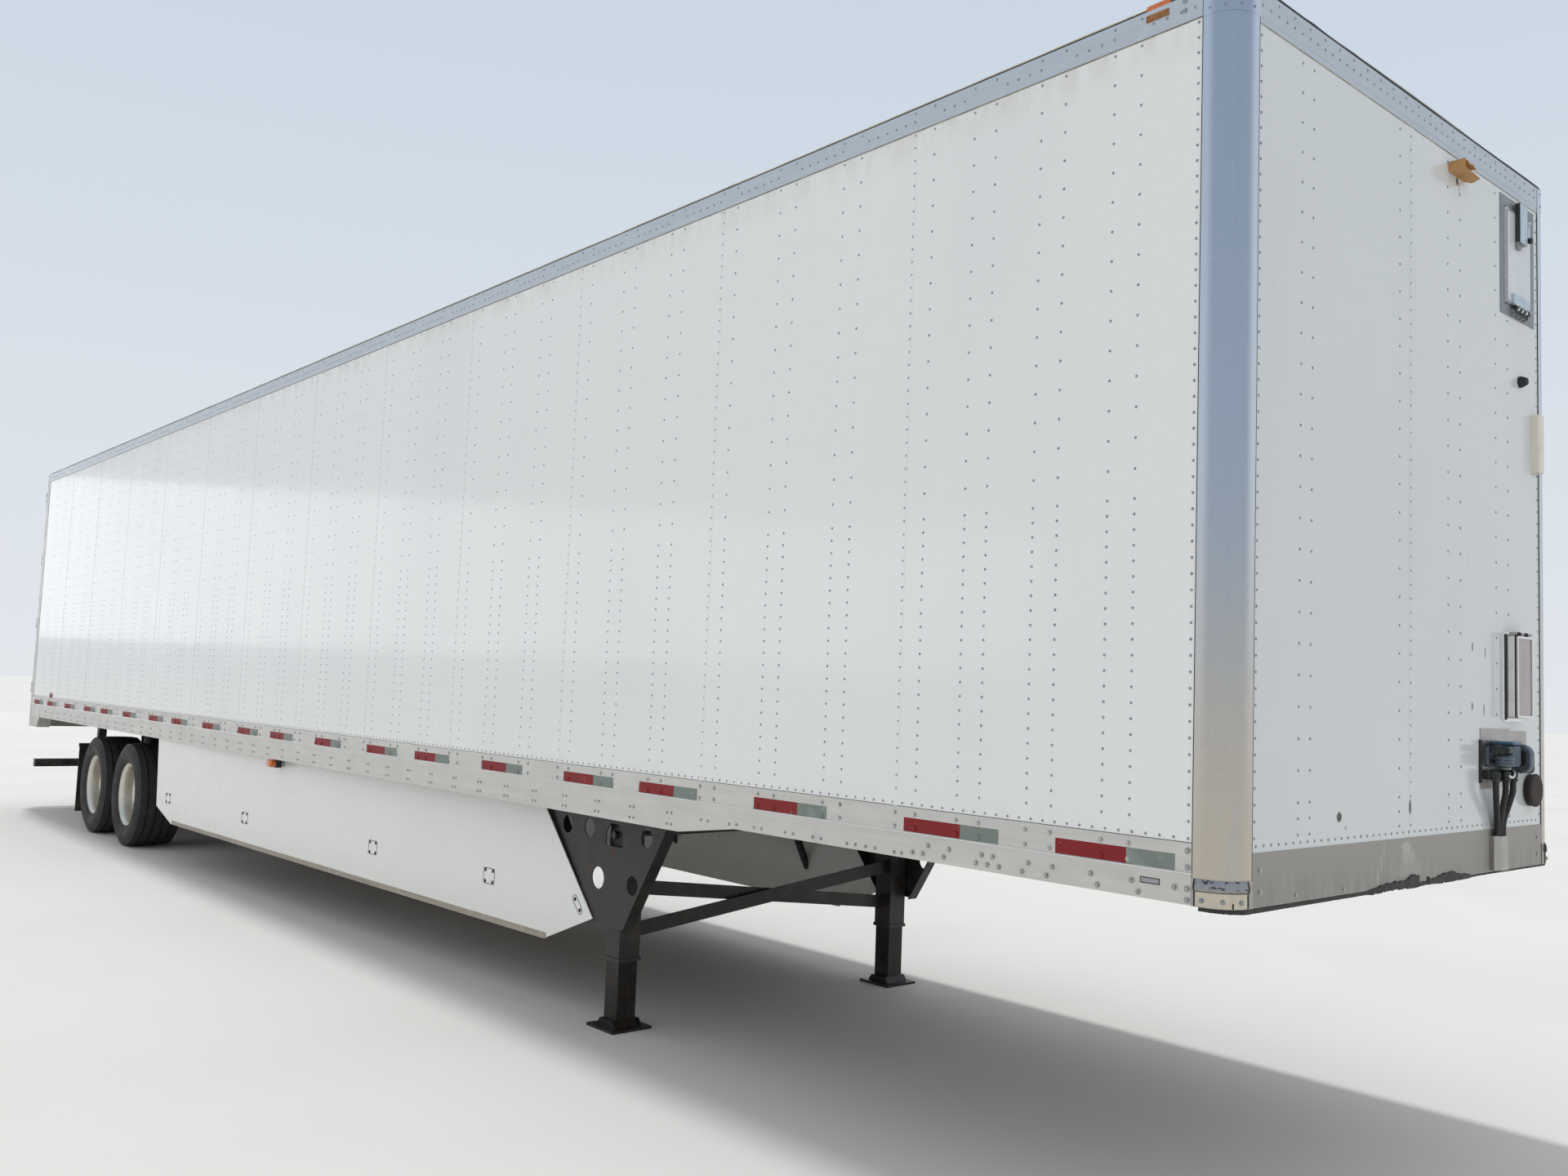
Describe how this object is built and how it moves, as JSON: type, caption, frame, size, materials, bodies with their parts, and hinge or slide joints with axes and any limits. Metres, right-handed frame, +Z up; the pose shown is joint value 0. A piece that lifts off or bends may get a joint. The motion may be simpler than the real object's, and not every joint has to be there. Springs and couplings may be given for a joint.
{
  "type": "semi trailer",
  "caption": "Enclosed dry-freight semi trailer with rear barn doors, side skirts, landing legs and a sliding tandem on wide single tyres.",
  "frame": {"origin": "on the ground under the middle of the van body", "axes": "+X towards the nose, +Y to the road (left) side, +Z up"},
  "size_m": [16.318, 2.619, 4.098],
  "materials": {
    "amber_lens": "gloss lens",
    "black_rubber": "matt",
    "black_steel": "black paint with road dirt",
    "greased_steel": "dark, greasy",
    "grey_casting": "grey-blue paint, worn",
    "mill_aluminium": "mill finish, dull and streaked",
    "oak": "worn laminated floor boards",
    "polished_aluminium": "polished, lightly weathered",
    "red_lens": "gloss lens",
    "red_paint": "red paint",
    "stainless": "stainless, dull",
    "tan_plastic": "weathered, broken",
    "tyre_rubber": "matt, dusty",
    "white_panel": "white prepainted skin, satin",
    "white_rail": "white paint, satin",
    "zinc_steel": "zinc coated, dull"
  },
  "bodies": {
    "trailer": {"air_springs": "black_rubber", "air_tank": "black_steel", "axles": "black_steel", "body_rails": "black_steel", "bogie_frame": "black_steel", "bottom_rails": "mill_aluminium", "broken_housing": "tan_plastic", "corner_guards": "stainless", "corner_posts": "mill_aluminium", "crank_shaft": "black_steel", "cross_members": "zinc_steel", "document_box": "stainless", "flap_hangers": "black_steel", "floor": "oak", "front_wall": "white_panel", "holdbacks": "red_paint", "hose_cover": "stainless", "landing_brackets": "black_steel", "leg_braces": "black_steel", "leg_feet": "greased_steel", "leg_tubes": "black_steel", "marker_lamps": "amber_lens", "mud_flaps": "black_rubber", "nose_couplings": "grey_casting", "nose_plate": "stainless", "nose_rails": "mill_aluminium", "pickup_plate": "zinc_steel", "rear_frame": "stainless", "rear_lamps": "red_lens", "roof": "white_rail", "roof_bows": "zinc_steel", "rubber_stops": "black_rubber", "service_hoses": "black_rubber", "side_wall_left": "white_panel", "side_wall_right": "white_panel", "skirt_struts": "black_steel", "skirts": "white_panel", "telematics_unit": "white_rail", "top_rails": "mill_aluminium", "trailing_arms": "black_steel", "underride_guard": "black_steel", "vent_frame": "mill_aluminium"},
    "door_left": {"door_left": "white_panel", "lock_gear_left": "zinc_steel"},
    "door_right": {"door_right": "white_panel", "lock_gear_right": "zinc_steel"},
    "vent_door": {"vent_door": "white_panel", "vent_latch": "zinc_steel"},
    "document_lid": {"document_lid": "stainless"},
    "wheel_front_left": {"tyre_front_left": "tyre_rubber", "wheel_front_left": "polished_aluminium"},
    "wheel_front_right": {"tyre_front_right": "tyre_rubber", "wheel_front_right": "polished_aluminium"},
    "wheel_rear_left": {"tyre_rear_left": "tyre_rubber", "wheel_rear_left": "polished_aluminium"},
    "wheel_rear_right": {"tyre_rear_right": "tyre_rubber", "wheel_rear_right": "polished_aluminium"}
  },
  "joints": [
    {"name": "door_left_hinge", "type": "hinge", "parent": "trailer", "child": "door_left", "pos_m": [-8.127, 1.2835, 2.6], "axis": [0, 0, -1], "range_deg": [0, 270]},
    {"name": "door_right_hinge", "type": "hinge", "parent": "trailer", "child": "door_right", "pos_m": [-8.127, -1.2835, 2.6], "axis": [0, 0, 1], "range_deg": [0, 270]},
    {"name": "vent_door_hinge", "type": "hinge", "parent": "trailer", "child": "vent_door", "pos_m": [8.089, 0.943, 3.47], "axis": [0, 1, 0], "range_deg": [0, 170]},
    {"name": "document_lid_hinge", "type": "hinge", "parent": "trailer", "child": "document_lid", "pos_m": [8.116, 0.87, 2.1], "axis": [0, -1, 0], "range_deg": [0, 170]},
    {"name": "wheel_front_left_spin", "type": "hinge", "parent": "trailer", "child": "wheel_front_left", "pos_m": [-3.784, 1.06, 0.5], "axis": [0, 1, 0], "continuous": true},
    {"name": "wheel_front_right_spin", "type": "hinge", "parent": "trailer", "child": "wheel_front_right", "pos_m": [-3.784, -1.06, 0.5], "axis": [0, 1, 0], "continuous": true},
    {"name": "wheel_rear_left_spin", "type": "hinge", "parent": "trailer", "child": "wheel_rear_left", "pos_m": [-5.029, 1.06, 0.5], "axis": [0, 1, 0], "continuous": true},
    {"name": "wheel_rear_right_spin", "type": "hinge", "parent": "trailer", "child": "wheel_rear_right", "pos_m": [-5.029, -1.06, 0.5], "axis": [0, 1, 0], "continuous": true}
  ]
}
